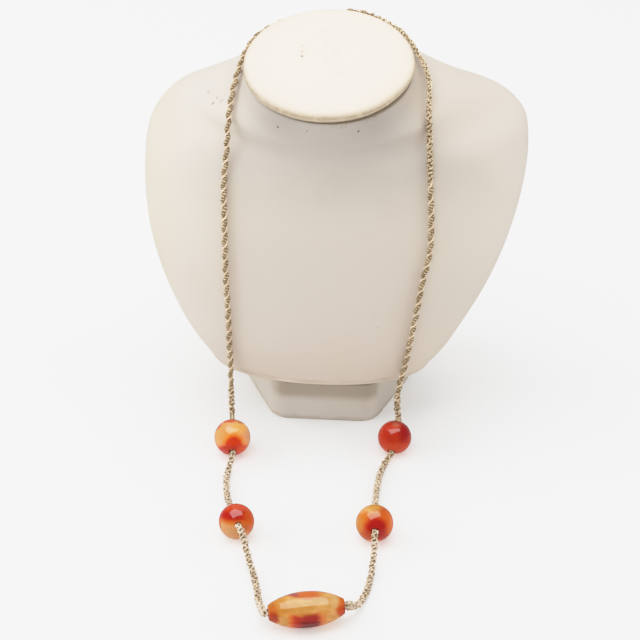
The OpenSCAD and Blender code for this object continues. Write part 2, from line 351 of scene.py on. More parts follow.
def gained(factor, tone, gains):
    """The tone, brightened or dulled by the gains where the factor is one."""
    return mixed(factor, tone, vector_math("MULTIPLY", tone, gains)[0])


def seat_height(place):
    """Height over the slanted level of the neck's top, in metres above the origin."""
    up = (-math.tan(math.radians(NECK_LEAN)), -math.tan(math.radians(NECK_PITCH)), 1.0)
    return vector_math("DOT_PRODUCT", place, up)["Value"]


def ragged_height(place):
    """Height with a ragged edge of a few millimetres, for stains."""
    ragged = arithmetic("MULTIPLY_ADD", noise(place, 90.0, 4.0), 0.008, -0.004)
    return arithmetic("ADD", split(place)[2], ragged)


def bust_tones(place, tone, colour):
    """The bust: painted shade on the neck and under the pad, painted light on the chest's sides, a painted
    highlight on the hem and a painted shadow line along the pad.
    """
    across, ahead, high = split(place)
    over = seat_height(place)
    aside = arithmetic("ABSOLUTE", across, 0.0)
    # Painted shade on the neck's front, under the pad's overhang
    painted_neck_shade = product(ramped(ragged_height(place), 0.125, 0.175), ramped(ahead, -0.008, -0.03))
    tone = mixed(painted_neck_shade, tone, scaled(colour, (0.745, 0.775, 0.805)))
    # Painted shade on the neck just under the pad, strongest at its sides
    painted_shade_under_pad = product(ramped(over, 0.182, 0.193), ramped(aside, 0.005, 0.03, 0.3, 1.0))
    # Painted light on the sides of the upper chest
    chest = product(ramped(high, 0.085, 0.115), ramped(high, 0.165, 0.14))
    chest = product(chest, ramped(aside, 0.035, 0.065))
    left_edge = ramped(across, -0.07, -0.088)
    # Painted shade on the neck beside the pad's right front
    painted_shade_beside_pad = zone_mask(place, (0.04, -0.01, 0.1945), (0.008, 0.012, 0.012), 0.7)
    # Painted highlight along the rolled hem at the chest's lower edge
    hem = ramped(high, 0.0345, 0.0332)
    for mask, gains in ((painted_shade_under_pad, (0.77, 0.775, 0.78)), (chest, (1.06, 1.065, 1.05)),
                        (left_edge, (0.96, 0.945, 0.88)), (painted_shade_beside_pad, (0.9, 0.905, 0.89)),
                        (hem, (1.22, 1.25, 1.28))):
        tone = gained(mask, tone, gains)
    # Painted shadow of the gap under the pad: a dark line along the neck's top edge
    tilted = arithmetic("MULTIPLY_ADD", across, 0.014, over)
    line = ramped(tilted, (NECK_TOP_Z - 1.0) * MM, (NECK_TOP_Z - 0.5) * MM)
    return mixed(line, tone, srgb(132, 117, 98))


def foot_tones(place, tone, colour):
    """The foot: shade on its front under the chest, and on both its slanted corners."""
    across, ahead, high = split(place)
    shaded = scaled(colour, (0.68, 0.635, 0.555))
    front = product(ramped(across, -0.028, -0.02), ramped(across, 0.036, 0.03))
    front = product(front, ramped(ahead, -0.036, -0.04))
    tone = mixed(product(front, ramped(high, 0.0125, 0.0195)), tone, shaded)
    # Painted shadow: a darker band at the top of the foot's front, just under the chest's lip
    tone = gained(product(front, ramped(high, 0.0252, 0.026)), tone, (0.72, 0.72, 0.72))
    for start, end, strength in ((0.028, 0.034, 0.35), (-0.016, -0.026, 0.18)):
        tone = mixed(ramped(across, start, end, 0.0, strength), tone, shaded)
    return tone


def pad_tones(place, tone, colour):
    """The pad: a rubbed rim that darkens downwards, partly grime and partly painted shade, and darker on
    its left; a painted highlight on the welt under it, and painted shade at its lower edge.
    """
    height = seat_height(place)

    def below(top, bottom, to_low=0.0, to_high=1.0):
        seat = NECK_TOP_Z + SEAT_GAP
        return ramped(height, (seat + top) * MM, (seat + bottom) * MM, to_low, to_high)

    # The rim darkens downwards: partly grime, partly painted shade
    tone = gained(below(6.3, 4.9), tone, (0.96, 0.94, 0.88))
    grime_and_shade = ramped(noise(place, 260.0, 4.0, 0.65), 0.3, 0.6, 0.7, 1.0)
    tone = mixed(product(below(5.2, 3.0), grime_and_shade), tone, scaled(colour, (0.44, 0.455, 0.4)))
    rubbed = ramped(noise(place, 900.0, 3.0), 0.56, 0.7)
    tone = mixed(product(rubbed, below(5.4, 3.2, 0.0, 0.7)), tone, srgb(150, 128, 100))
    # Painted highlight along the welt under the rim
    tone = mixed(below(2.9, 2.2, 0.0, 0.35), tone, srgb(206, 188, 164))
    # Painted shade at the pad's lower edge, where it sits on the neck
    tone = gained(below(1.7, 0.7), tone, (0.72, 0.7, 0.67))
    left = ramped(split(place)[0], -0.005, -0.028)
    return gained(product(below(6.6, 3.6), left), tone, (0.88, 0.88, 0.89))


def embossed(height, strength):
    """Fine relief, about a tenth of a millimetre deep."""
    inputs = {"Height": height, "Strength": strength, "Distance": RELIEF * MM}
    return add("ShaderNodeBump", inputs).outputs["Normal"]


def leatherette(name, colour, roughness, grain, darker_below, marks, own_tones):
    """Embossed leatherette, with soft staining, darker towards the bottom, a few specks, handling marks and
    a piece's own tones.
    """
    material, shader, place = start_material(name)
    colour = srgb(*colour)
    broad = noise(place, 14.0, 3.0)
    fine = noise(place, 90.0, 4.0)
    tone = mixed(ramped(broad, 0.35, 0.7), colour, scaled(colour, (1.0, 0.985, 0.955)))
    tone = mixed(ramped(fine, 0.55, 0.8, 0.0, 0.55), tone, scaled(colour, (0.955, 0.945, 0.93)))
    # Darker towards the bottom
    darkened_low = ramped(ragged_height(place), *darker_below)
    tone = mixed(darkened_low, tone, scaled(colour, (0.86, 0.83, 0.78)))
    tone = own_tones(place, tone, colour)
    cells = add("ShaderNodeTexVoronoi", {"Vector": place, "Scale": 62.0})
    rare = arithmetic("GREATER_THAN", split(cells.outputs["Color"])[0], 0.72)
    speck = product(ramped(cells.outputs["Distance"], 0.034, 0.018), rare)
    tone = mixed(product(speck, 0.4), tone, srgb(120, 100, 84))
    for middle, size, strength, stain in marks:
        shown = zone_mask(place, [m * MM for m in middle], [r * MM for r in size], 0.35)
        if max(size) > 3:
            shown = product(shown, ramped(noise(place, 900.0, 3.0), 0.48, 0.62))
        tone = mixed(product(shown, strength), tone, srgb(*stain))
    pores = add("ShaderNodeTexVoronoi", {"Vector": place, "Scale": 1500.0, "Smoothness": 0.6},
                feature="SMOOTH_F1")
    folds = noise(place, 420.0, 5.0, 0.6)
    relief = arithmetic("MULTIPLY_ADD", pores.outputs["Distance"], 0.6, folds)
    fill(shader, {"Base Color": tone, "Normal": embossed(relief, grain), "IOR": 1.45,
                  "Roughness": ramped(broad, 0.3, 0.7, roughness - 0.05, roughness + 0.06)})
    return material


def cord_fibre(name, *colours):
    """Waxed plant fibre in a colour and its shadow, with specks where a third colour is given, and painted
    light where it lies on the table and where it climbs along the pad.
    """
    material, shader, place = start_material(name)
    colour, shadow, *speck = [lit(*colour, CORD_LIGHT) for colour in colours]
    long_tone = noise(place, 130.0, 2.0)
    fibre = noise(place, 2600.0, 3.0, 0.65)
    tone = mixed(ramped(long_tone, 0.35, 0.7, 0.0, 0.5), colour, shadow)
    tone = mixed(ramped(fibre, 0.5, 0.75, 0.0, 0.45), tone, shadow)
    if speck:
        specks = noise(place, 820.0, 2.0, 0.6)
        tone = mixed(ramped(specks, 0.47, 0.6, 0.0, 0.85), tone, speck[0])
    across, ahead, high = split(place)
    # Painted light: paler and less yellow where the cord lies on the table in front
    tone = gained(ramped(ahead, -0.078, -0.086), tone, (1.2, 1.22, 1.36))
    # Painted light: paler where the cord climbs along the pad at the upper right
    painted_light_along_pad = product(ramped(high, 0.184, 0.196), ramped(across, 0.02, 0.03))
    tone = gained(painted_light_along_pad, tone, (1.48, 1.56, 1.66))
    fill(shader, {"Base Color": tone, "Normal": embossed(fibre, 0.5),
                  "Roughness": ramped(fibre, 0.3, 0.7, 0.5, 0.7)})
    return material


def agate(name, axes, scale, seed, colours, zones, blocks=()):
    """Polished banded agate, with soft oval zones and blocks of colour over its two ground tones; zones at
    a bead's rims are painted reflections.

    A row has a zone's place and half size, in shares of the bead's own as it is seen, then its
    softness, colour and strength, and its turn if it is turned.
    """
    material, shader, place = start_material(name)
    shares = []
    for axis, length in zip(axes, scale):
        direction = tuple(float(c) / (length * MM) for c in axis)
        shares.append(vector_math("DOT_PRODUCT", place, direction)["Value"])
    flat = add("ShaderNodeCombineXYZ", dict(enumerate(shares))).outputs[0]
    shifted = vector_math("ADD", flat, (seed,) * 3)[0]
    stir = noise(shifted, 1.7, 3.0).node.outputs["Color"]
    centred = vector_math("SUBTRACT", stir, (0.5,) * 3)[0]
    pushed = vector_math("MULTIPLY", centred, (0.24,) * 3)[0]
    space = vector_math("ADD", flat, pushed)[0]
    cloud = noise(shifted, 2.2, 3.0)
    tone = mixed(ramped(cloud, 0.36, 0.66), lit(*colours[0]), lit(*colours[1]))
    for rows, square in ((zones, False), (blocks, True)):
        for x, y, wide, high, soft, colour, strength, *turn in rows:
            mask = zone_mask(space, (x, y, 0.5), (wide, high, 3), soft, *turn, square=square)
            tone = mixed(product(mask, strength), tone, lit(*colour))
    streak = ramped(noise(shifted, 9.0, 4.0, 0.6), 0.5, 0.78, 0.0, 0.2)
    darker = add("ShaderNodeHueSaturation", {"Saturation": 1.1, "Value": 0.72, "Color": tone}).outputs[0]
    tone = mixed(streak, tone, darker)
    fill(shader, {"Base Color": tone, "Roughness": ramped(cloud, 0.3, 0.7, 0.02, 0.05),
                  "IOR": 1.54, "Coat Weight": 0.35, "Coat Roughness": 0.02, "Coat IOR": 1.5,
                  "Subsurface Weight": 0.15, "Subsurface Radius": (1.0, 0.35, 0.15),
                  "Subsurface Scale": 0.002})
    return material


def mesh_piece(name, points, faces, material, replaced, middle=(0, 0, 0)):
    """A smooth piece from points in millimetres, which rides on the root and replaces nodes."""
    data = bpy.data.meshes.new(name)
    points = (np.asarray(points, float) - middle) * MM
    data.from_pydata(points.tolist(), [], faces)
    data.validate()
    data.polygons.foreach_set("use_smooth", [True] * len(data.polygons))
    data.materials.append(material)
    piece = placed(name, data)
    piece.location = [m * MM for m in middle]
    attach(piece, "root")
    if replaced:
        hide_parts(replaced)
    return piece


def skin_faces(rings, sides, closed=True):
    """Quads between rings of points, given as one list, ring after ring."""
    faces = []
    for i in range(rings - 1):
        for k in range(sides if closed else sides - 1):
            a = i * sides + k
            b = i * sides + (k + 1) % sides
            faces.append((a, b, b + sides, a + sides))
    return faces


def capped_faces(rings, sides):
    """Quads between rings of points, and one face over each end."""
    last = (rings - 1) * sides
    return skin_faces(rings, sides) + [tuple(range(sides - 1, -1, -1)), tuple(range(last, last + sides))]


def on_spline(rows, at):
    """A place on the smooth curve through a table's rows, counted in rows."""
    last = len(rows) - 1
    i = min(int(at), last - 1)
    a, b, c, d = (rows[k] for k in (max(i - 1, 0), i, i + 1, min(i + 2, last)))
    t = at - i
    return 0.5 * (2 * b + (c - a) * t + (2 * a - 5 * b + 4 * c - d) * t * t
                  + (3 * b - a - 3 * c + d) * t ** 3)


DENSE = np.array([on_spline(SECTIONS, at) for at in np.arange(0, len(SECTIONS) - 0.99, 1 / 16)])


def section_at(z):
    """The bust's section at a height."""
    return Section(*(float(np.interp(z, DENSE[:, 0], column)) for column in DENSE.T))


def level_z(z, x, y):
    """Height of a point on a level that slants with the bust's neck."""
    pitch = NECK_PITCH * np.clip((z - PITCH_FROM_Z) / (NECK_TOP_Z - PITCH_FROM_Z), 0, 1)
    lean = NECK_LEAN * np.clip((z - LEAN_FROM_Z) / (NECK_TOP_Z - LEAN_FROM_Z), 0, 1)
    return z + y * np.tan(np.radians(pitch)) + x * np.tan(np.radians(lean))


def section_ring(z, out=0.0):
    """The bust's outline at a height, pushed outwards by a few tenths."""
    section = section_at(z)
    a = np.radians(degrees_round(BUST_SIDES))
    front = np.sin(a) < 0
    power = 2 / np.where(front, section.front_p, section.back_p)
    reach = np.where(front, section.side_y - section.front_y, section.back_y - section.side_y)
    x = section.half_w * np.sign(np.cos(a)) * np.abs(np.cos(a)) ** power
    y = section.side_y + reach * np.sign(np.sin(a)) * np.abs(np.sin(a)) ** power
    plan = np.stack([x, y], 1)
    pushed = plan + (section.mid_x, 0) + out * outwards(plan)
    return np.column_stack([pushed, level_z(z, x, y)])


def dress_bust(material):
    """The chest, with a rolled hem at its lower edge and a turned-in top."""
    hem = [(0.0, -9.0), (0.0, -2.4), (0.05, -1.1), (0.3, -0.3), (0.8, 0.25), (1.5, 0.45),
           (2.2, 0.35), (2.8, 0.05), (3.3, -0.15), (3.9, -0.12), (5.0, 0.0)]
    rim = [(-1.4, -0.05), (-0.7, -0.3), (-0.25, -0.8), (-0.05, -1.6), (0.0, -3.0)]
    rings = [section_ring(HEM_Z + up, out) for up, out in hem]
    rings += [section_ring(z) for z in np.linspace(HEM_Z + 6, NECK_TOP_Z - 2.5, 118)]
    rings += [section_ring(NECK_TOP_Z + up, out) for up, out in rim]
    mesh_piece("bust_skin", np.concatenate(rings), capped_faces(len(rings), len(rings[0])), material,
               "bust_body")


def dress_bust_seam(material):
    """The glued overlap of the covering, up the middle of the back."""
    heights = np.linspace(HEM_Z + 1.5, NECK_TOP_Z - 3, 70)
    profile = [(-2.6, -0.15), (-1.3, 0.06), (0.0, 0.16), (1.0, 0.2), (1.25, 0.16), (1.35, -0.15)]
    points = []
    for z in heights:
        section = section_at(z)
        for across, proud in profile:
            share = (1 - (abs(across) / section.half_w) ** section.back_p) ** (1 / section.back_p)
            y = section.side_y + (section.back_y - section.side_y) * share + proud
            points.append([section.mid_x + across, y, float(level_z(z, across, y))])
    faces = skin_faces(len(heights), len(profile), closed=False)
    mesh_piece("bust_back_seam", points, faces, material, None)


def corner_arc(before, corner, after, radius):
    u = unit(before - corner)
    v = unit(after - corner)
    half = math.acos(float(u @ v)) / 2
    middle = corner + unit(u + v) * radius / math.sin(half)
    start = corner + u * radius / math.tan(half) - middle
    a0 = math.atan2(start[1], start[0])
    turn = (math.pi - 2 * half) * np.sign(v[0] * u[1] - v[1] * u[0])
    angles = a0 + turn * np.arange(CORNER_STEPS + 1) / CORNER_STEPS
    return list(middle + radius * np.stack([np.cos(angles), np.sin(angles)], 1))


def foot_plan(inset):
    y0 = -FOOT_DEPTH / 2
    splay_y = y0 + (FOOT_BACK_HALF - FOOT_FRONT_HALF) / math.tan(math.radians(FOOT_SPLAY))
    corners = np.array([(FOOT_FRONT_HALF, y0), (FOOT_BACK_HALF, splay_y), (FOOT_BACK_HALF, -y0),
                        (-FOOT_BACK_HALF, -y0), (-FOOT_BACK_HALF, splay_y), (-FOOT_FRONT_HALF, y0)])
    arcs = [corner_arc(*corner) for corner in zip(np.roll(corners, 1, 0), corners,
                                                  np.roll(corners, -1, 0), FOOT_ROUNDING)]
    plan = []
    for arc, following in zip(arcs, arcs[1:] + arcs[:1]):
        plan += arc
        for share in (0.03, 0.5, 0.97):
            plan.append(arc[-1] + (following[0] - arc[-1]) * share)
    plan = np.array(plan)
    return plan + (FOOT_MID_X, 0) - inset * outwards(plan)


def dress_foot(material):
    """The covered block under the chest, with soft edges."""
    levels = [(0.0, 2.2), (0.0, 1.0), (0.15, 0.4), (0.5, 0.1), (1.0, 0.0), (1.8, 0.0), (10, 0.0),
              (20, 0.0), (30.2, 0.0), (30.8, 0.05), (31.3, 0.3), (31.6, 0.8), (FOOT_H, 2.0)]
    rings = []
    for z, inset in levels:
        plan = foot_plan(inset)
        rings.append(np.column_stack([plan, np.full(len(plan), z)]))
    mesh_piece("foot_cover", np.concatenate(rings), capped_faces(len(rings), len(rings[0])), material,
               "foot")


def pad_points(sides):
    """Rings of the neck pad from the middle of its underside over the rim to its crown."""
    under = [(0.0, share) for share in (0.12, 0.3, 0.5, 0.7, 0.84, 0.915)]
    rim = [(0.12, 0.948), (0.6, 0.968), (1.3, 0.984), (2.2, 0.995), (3.1, 1.0), (4.0, 0.997),
           (4.8, 0.988), (5.5, 0.972), (CUSHION_H, 0.95)]
    crown = [(CUSHION_H + CUSHION_RISE * (1 - share ** 2), share) for share in np.linspace(0.915, 0.06, 24)]
    rings = []
    turn = degrees_round(sides)
    a = np.radians(turn)
    drawn = 1 - CUSHION_DRAWN * np.exp(-((turn - CUSHION_DRAWN_AT) / CUSHION_DRAWN_OVER) ** 2)
    reach = PAD_HALF_D * math.cos(math.radians(NECK_PITCH)) * np.where(np.sin(a) < 0, CUSHION_FRONT, 1.0)
    for height, share in under + rim + crown:
        x = PAD_HALF_W * share * drawn * np.cos(a)
        y = PAD_Y + reach * share * drawn * np.sin(a)
        rings.append(np.stack([x, y, level_z(NECK_TOP_Z, x, y) + SEAT_GAP + height], 1))
    return rings, len(under)


def swell(pad, rest, held):
    """Moves the pad's points as cloth with air under it does, and smooths it once."""
    trial = pad.data.copy()
    trial.vertices.foreach_set("co", (rest * TRIAL_SCALE).ravel())
    worker = placed("pad_trial", trial)
    worker.vertex_groups.new(name="held").add(list(range(held)), 1.0, "REPLACE")
    cloth = worker.modifiers.new("cloth", "CLOTH")
    cloth.settings.effector_weights.gravity = 0.0
    for key, value in {"vertex_group_mass": "held", "use_pressure": True, "uniform_pressure_force": 1.2,
                       "shrink_min": -0.035, "tension_stiffness": 30, "compression_stiffness": 30,
                       "bending_stiffness": 0.4, "quality": 6}.items():
        setattr(cloth.settings, key, value)
    scene = bpy.context.scene
    for number in range(1, TRIAL_FRAMES + 1):
        scene.frame_set(number)
    done = worker.evaluated_get(bpy.context.evaluated_depsgraph_get()).to_mesh()
    moved = np.zeros(len(rest) * 3)
    done.vertices.foreach_get("co", moved)
    move = moved.reshape(-1, 3) / TRIAL_SCALE - rest
    reach = np.linalg.norm(move, axis=1, keepdims=True)
    move = move * np.minimum(1.0, SWELL_LIMIT * MM / np.maximum(reach, 1e-9))
    bpy.data.objects.remove(worker)
    scene.frame_set(1)
    pad.data.vertices.foreach_set("co", (rest + move).ravel())
    pad.data.update()
    finer = pad.modifiers.new("finer", "SUBSURF")
    finer.levels = 1
    finer.render_levels = 1


def dress_pad(material):
    """The padded oval: foam pressed up under a covering that is held at its underside."""
    rings, under = pad_points(CUSHION_SIDES)
    points = np.concatenate(rings)
    pad = mesh_piece("neck_pad_cushion", points, capped_faces(len(rings), CUSHION_SIDES), material,
                     "neck_pad")
    swell(pad, points * MM, (under + 1) * CUSHION_SIDES)


def hole_axis(place):
    """Direction of a bead's hole."""
    heading = math.radians(place.heading)
    nose = math.radians(place.nose)
    return np.array([math.sin(heading) * math.cos(nose), -math.cos(heading) * math.cos(nose),
                     -math.sin(nose)])


def bead_middle(place):
    return np.array([place.x, place.y, place.wide / 2])


BARREL_MIDDLE = np.array([PLACE_BARREL.x, PLACE_BARREL.y,
                          BARREL_R * math.cos(math.radians(180 / BARREL_FACETS - BARREL_ROLL))])


def bead_turn(place):
    """Turn that lays a bead, made with its hole along Z, where it lies."""
    return np.array(Matrix.Rotation(math.radians(place.heading), 3, "Z")
                    @ Matrix.Rotation(math.radians(90 + place.nose), 3, "X"))


def bead_piece(where, rings, place, middle, material):
    """A bead turned on its lathe profile, whose first and last rings meet in the bore."""
    points = np.concatenate(rings) @ bead_turn(place).T + middle
    faces = [tuple(i % len(points) for i in face) for face in skin_faces(len(rings) + 1, len(rings[0]))]
    mesh_piece("bead_polished_" + where, points, faces, material, "bead_" + where, middle)


def turned(profile):
    """Rings of a shape turned on the profile's radii and heights."""
    a = np.radians(degrees_round(BEAD_SIDES))
    return [np.stack([r * np.cos(a), r * np.sin(a), np.full(BEAD_SIDES, z)], 1) for r, z in profile]


def round_bead(where, place, seed, colours, zones):
    """A ball of agate with a drilled hole, whose mouths are bevelled and rubbed soft."""
    radius = place.wide / 2
    material = agate("agate_" + where, (RIGHT, UP, BACK), (radius,) * 3, seed, colours, zones)
    mouth = math.asin(MOUTH_R / radius)
    edge = radius * math.cos(mouth)
    below = [(BORE_R, 0.0), (BORE_R, -edge + 1.4), (BORE_R + 0.03, -edge + 0.75),
             (BORE_R + 0.14, -edge + 0.5), (MOUTH_R - 0.18, -edge + 0.2), (MOUTH_R - 0.03, -edge + 0.06)]
    turns = np.linspace(mouth + 0.012, math.pi - mouth - 0.012, 60)
    outside = [(radius * math.sin(t), -radius * math.cos(t)) for t in turns]
    above = [(r, -z) for r, z in reversed(below[1:])]
    bead_piece(where, turned(below + outside + above), place, bead_middle(place), material)


def barrel_bead(where, place, seed, colours, zones, blocks):
    """The long bead of agate, with flat facets that meet in rubbed edges."""
    material = agate("agate_" + where, (-hole_axis(place), UP, BACK), (BARREL_L / 2, BARREL_R, BARREL_R),
                     seed, colours, zones, blocks)
    radii = [on_spline(BARREL, at) for at in np.linspace(0, len(BARREL) - 1, 61)]
    per_facet = 16
    sides = BARREL_FACETS * per_facet
    step = 360.0 / BARREL_FACETS
    a = degrees_round(sides)
    first_edge = 270 + step / 2 + BARREL_ROLL
    offset = (a - first_edge + step / 2) % step - step / 2
    flat = np.cos(np.radians(step / 2)) / np.cos(np.radians(step / 2 - np.abs(offset)))
    sharp = 420.0
    rubbed = 0.9935
    shape = -np.log(np.exp(-flat * sharp) + np.exp(-rubbed * sharp)) / sharp
    angle = np.radians(a)

    def ring(radius, z, faceted=1.0):
        r = radius * (1 + (shape - 1) * faceted)
        return np.stack([r * np.cos(angle), r * np.sin(angle), np.full(sides, z)], 1)

    half = BARREL_L / 2
    tip = radii[0][1] * BARREL_R
    below = [ring(BORE_R, 0, 0), ring(BORE_R, -half + 1.2, 0), ring(BORE_R + 0.05, -half + 0.6, 0),
             ring(MOUTH_R - 0.1, -half + 0.12, 0), ring(MOUTH_R + 0.1, -half, 0),
             ring(tip - 0.45, -half, 0.5), ring(tip - 0.16, -half + 0.06, 1)]
    outside = [ring(share * BARREL_R, at * half) for at, share in radii[1:-1]]
    above = [np.column_stack([r[:, :2], -r[:, 2]]) for r in reversed(below[1:])]
    bead_piece(where, below + outside + above, place, BARREL_MIDDLE, material)


def through(middle, axis, half, bare_back):
    """The cord's points just before, in and just after a bead's hole."""
    front = half + BARE_CORE
    back = half + bare_back
    return [middle - axis * (back + 0.8), middle - axis * back, middle + axis * front,
            middle + axis * (front + 0.8)]


def through_round(place, bare_back=BARE_CORE):
    half = math.sqrt(place.wide ** 2 - (2 * BORE_R) ** 2) / 2
    return through(bead_middle(place), hole_axis(place), half, bare_back)


def loop_points():
    """The closed route of the cord, in the order of the part's source."""
    barrel = through(BARREL_MIDDLE, hole_axis(PLACE_BARREL), BARREL_L / 2, BARE_CORE)
    groups = [ROUTE_NECK, through_round(PLACE_UR), ROUTE_RIGHT, through_round(PLACE_LR),
              ROUTE_RIGHT_END, barrel, ROUTE_LEFT_END, through_round(PLACE_LL)[::-1], ROUTE_LEFT,
              through_round(PLACE_UL, BARE_CORE_UPPER)[::-1]]
    return np.array([list(point) for group in groups for point in group], float)


def between(x, start, end, a, b):
    """What lies at x on a straight run from a at the start to b at the end."""
    return (end - x) / (end - start) * a + (x - start) / (end - start) * b


def smooth_loop(points, spacing):
    """Evenly spaced points of a centripetal spline round the closed route."""
    count = len(points)
    out = []
    for i in range(count):
        p = [points[(i + k - 1) % count] for k in range(4)]
        t = [0.0]
        for k in range(3):
            t.append(t[-1] + math.sqrt(np.linalg.norm(p[k + 1] - p[k])) + 1e-9)
        steps = max(2, int(np.linalg.norm(p[2] - p[1]) / 0.2))
        for s in np.arange(steps) / steps:
            x = t[1] + (t[2] - t[1]) * s
            a = [between(x, t[k], t[k + 1], p[k], p[k + 1]) for k in range(3)]
            b = [between(x, t[k], t[k + 2], a[k], a[k + 1]) for k in range(2)]
            out.append(between(x, t[1], t[2], b[0], b[1]))
    out = np.array(out + [out[0]])
    run = np.concatenate([[0], np.cumsum(np.linalg.norm(np.diff(out, axis=0), axis=1))])
    even = np.linspace(0, run[-1], int(run[-1] / spacing) + 1)
    return np.stack([np.interp(even, run, out[:, c]) for c in range(3)], 1), even


def carried_frame(path):
    """The path's direction at each point, and two square to it, carried along without twist."""
    run = unit(np.gradient(path, axis=0))
    side = np.zeros_like(path)
    side[0] = unit(np.cross(run[0], [0, 0, 1.0]))
    for i in range(1, len(path)):
        side[i] = unit(side[i - 1] - run[i] * (side[i - 1] @ run[i]))
    return run, side, np.cross(run, side)


def smooth_step(values, start, end):
    """Nought up to the start, one from the end on, and eased between them."""
    x = np.clip((values - start) / (end - start), 0, 1)
    return x * x * (3 - 2 * x)


def strand_mesh(centres, radii, sides):
    """Points and faces of a tube round a line of centres, with capped ends."""
    side, out = carried_frame(centres)[1:]
    a = np.radians(degrees_round(sides))
    rings = (centres[:, None, :]
             + radii[:, None, None] * (side[:, None, :] * np.cos(a)[None, :, None]
                                       + out[:, None, :] * np.sin(a)[None, :, None]))
    points = rings.reshape(-1, 3)
    # A strand that lies on the table is pressed flat by it
    points[:, 2] = np.maximum(points[:, 2], TABLE_GAP)
    return points, capped_faces(len(centres), sides)


def tube_piece(name, tubes, material):
    """One piece of the cord from tubes, each given as its points and faces."""
    points = []
    faces = []
    start = 0
    for more, their_faces in tubes:
        points.append(more)
        faces += [tuple(i + start for i in face) for face in their_faces]
        start += len(more)
    mesh_piece(name, np.concatenate(points), faces, material, "cord")


def cord_plan():
    """The cord's path from bead to bead, with its thickness, bare threads and braiding along it."""
    path, along = smooth_loop(loop_points(), CORD_SPACING)
    start = int(np.argmin(np.linalg.norm(path - bead_middle(PLACE_UL), axis=1)))
    path = np.concatenate([path[start:-1], path[:start + 1]])
    along = np.arange(len(path)) * (along[1] - along[0])
    beads = [(bead_middle(bead), bead.wide / 2, bead is PLACE_UL)
             for bead in (PLACE_UL, PLACE_UR, PLACE_LR, PLACE_LL)]
    beads.append((BARREL_MIDDLE, BARREL_L / 2, False))
    full = np.ones(len(path))
    bare = np.zeros(len(path))
    total = along[-1]
    for middle, half, long_bare in beads:
        at = along[int(np.argmin(np.linalg.norm(path - middle, axis=1)))]
        away = along - at
        away = np.where(away > total / 2, away - total, np.where(away < -total / 2, away + total, away))
        outside = np.abs(away) - half
        squeeze = THIN_IN_HOLE + (1 - THIN_IN_HOLE) * smooth_step(outside, -0.9, 0.4)
        inside = 1 - smooth_step(outside, -1.6, -0.8)
        if long_bare:
            beside = THIN_BARE + (1 - THIN_BARE) * smooth_step(outside, 4.9, 6.3)
            squeeze = np.where(away > 0, beside, squeeze)
            inside = np.where(away > 0, 1 - smooth_step(outside, 4.8, 5.6), inside)
        full = np.minimum(full, squeeze)
        bare = np.maximum(bare, inside)
    x, y, z = path.T
    braided = 1 - smooth_step(z, 26, 32)
    upper_right = smooth_step(z, 152, 160) * (x > 20)
    # At the upper right the cord lies close along the pad, and is pressed thinner
    pressed = smooth_step(z, 176, 190) * smooth_step(x, 10, 20) * smooth_step(y, 33, 23)
    full = full * (1 - PRESSED_THINNER * pressed)
    path[:, 0] -= PRESSED_INWARD * pressed
    return path, along, full, bare, np.maximum(braided, upper_right)


def stretches(shown):
    """First and last place of each stretch along which something shows."""
    ends = np.flatnonzero(np.diff(np.concatenate([[0], shown.astype(int), [0]])))
    return [(a, b) for a, b in zip(ends[::2], ends[1::2]) if b - a > 12]


def strand_piece(name, lines, shown, every, sides, material):
    """Strands of a cord, each a line of centres with its radii, where they show."""
    tubes = []
    for centres, radii in lines:
        for first, last in stretches(shown):
            keep = np.append(np.arange(first, last - 1, every), last - 1)
            tubes.append(strand_mesh(centres[keep], radii[keep], sides))
    tube_piece(name, tubes, material)


